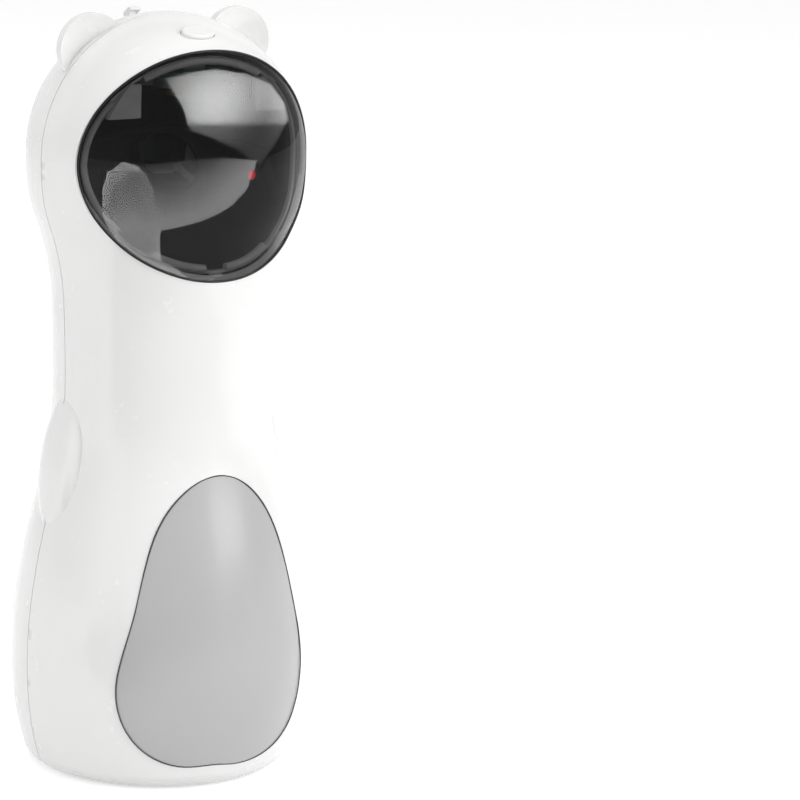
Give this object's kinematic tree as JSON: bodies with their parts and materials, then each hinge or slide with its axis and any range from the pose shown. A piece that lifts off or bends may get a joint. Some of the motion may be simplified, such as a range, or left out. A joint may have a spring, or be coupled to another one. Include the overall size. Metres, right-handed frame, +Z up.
{
  "type": "automatic cat laser toy",
  "caption": "Upright eared cat toy: smoked head dome over a wobbling mirror that sweeps a laser spot, push button, range lever, belly panel and hinged rear battery cover.",
  "frame": {"origin": "on the table under the middle of the round foot", "axes": "+Z up, the dome and belly panel look along -Y, the battery cover is at +Y"},
  "size_m": [0.0802, 0.0802, 0.2057],
  "materials": {
    "white_shell": "glossy white moulded plastic",
    "smoked_dome": "smoked clear plastic, polished",
    "dark_plastic": "dark grey moulded plastic",
    "black_plastic": "black moulded plastic",
    "grey_plastic": "light grey moulded plastic",
    "grey_panel": "grey moulded plastic, semi-gloss",
    "foot_rubber": "soft grey rubber",
    "circuit_board": "green circuit board",
    "steel_trim": "plated steel",
    "motor_steel": "drawn steel can",
    "nylon": "natural nylon",
    "mirror": "front-silvered mirror",
    "brass": "turned brass",
    "clear_lens": "clear moulded lens",
    "cell_sleeve": "plain shrink sleeve"
  },
  "bodies": {
    "housing": {"front_shell": "white_shell", "rear_shell": "white_shell", "dome": "smoked_dome", "dome_ring": "dark_plastic", "belly_panel": "grey_panel", "foot_pads": "foot_rubber", "tact_switch": "steel_trim", "switch_board": "circuit_board", "rotor_axle": "steel_trim", "idler_axle": "steel_trim", "motor_can": "motor_steel", "motor_cap": "black_plastic", "gear_frame": "black_plastic", "dome_shield": "black_plastic", "lever_pin": "steel_trim", "housing_screws": "steel_trim", "frame_screws": "steel_trim", "battery_tray": "black_plastic", "battery_cells": "cell_sleeve", "battery_contacts": "steel_trim", "battery_springs": "steel_trim", "main_board": "circuit_board", "board_parts": "black_plastic", "charge_board": "circuit_board", "charge_socket": "steel_trim", "socket_tongue": "black_plastic"},
    "mode_button": {"mode_button": "white_shell", "switch_plunger": "dark_plastic"},
    "range_lever": {"range_lever": "grey_plastic", "laser_barrel": "brass", "laser_lens": "clear_lens"},
    "mirror_rotor": {"mirror_rotor": "black_plastic", "mirror": "mirror"},
    "idler_gear": {"idler_gear": "nylon"},
    "motor_pinion": {"motor_pinion": "nylon", "motor_shaft": "steel_trim"},
    "battery_cover": {"battery_cover": "white_shell"}
  },
  "joints": [
    {"name": "button_press", "type": "slide", "parent": "housing", "child": "mode_button", "axis": [0, 0.4332, -0.9013], "range_m": [0, 0.0006], "stiffness_N_per_m": 2000, "springref_m": -0.0002},
    {"name": "lever_tilt", "type": "hinge", "parent": "housing", "child": "range_lever", "pos_m": [0, 0.012, 0.1873], "axis": [1, 0, 0], "range_deg": [-12, 12]},
    {"name": "mirror_spin", "type": "hinge", "parent": "housing", "child": "mirror_rotor", "pos_m": [0, -0.002, 0.166], "axis": [0, -0.766, 0.6428], "continuous": true},
    {"name": "idler_spin", "type": "hinge", "parent": "housing", "child": "idler_gear", "pos_m": [0.01194, -0.00718, 0.15983], "axis": [0, -0.766, 0.6428], "continuous": true},
    {"name": "motor_spin", "type": "hinge", "parent": "housing", "child": "motor_pinion", "pos_m": [-0.00001, -0.00975, 0.15677], "axis": [0, -0.766, 0.6428], "continuous": true},
    {"name": "cover_swing", "type": "hinge", "parent": "housing", "child": "battery_cover", "pos_m": [0, 0.0356, 0.0138], "axis": [-1, 0, 0], "range_deg": [0, 30]}
  ],
  "couplings": [
    {"joint": "idler_spin", "follows": "mirror_spin", "ratio": -3},
    {"joint": "motor_spin", "follows": "mirror_spin", "ratio": 7.5}
  ]
}
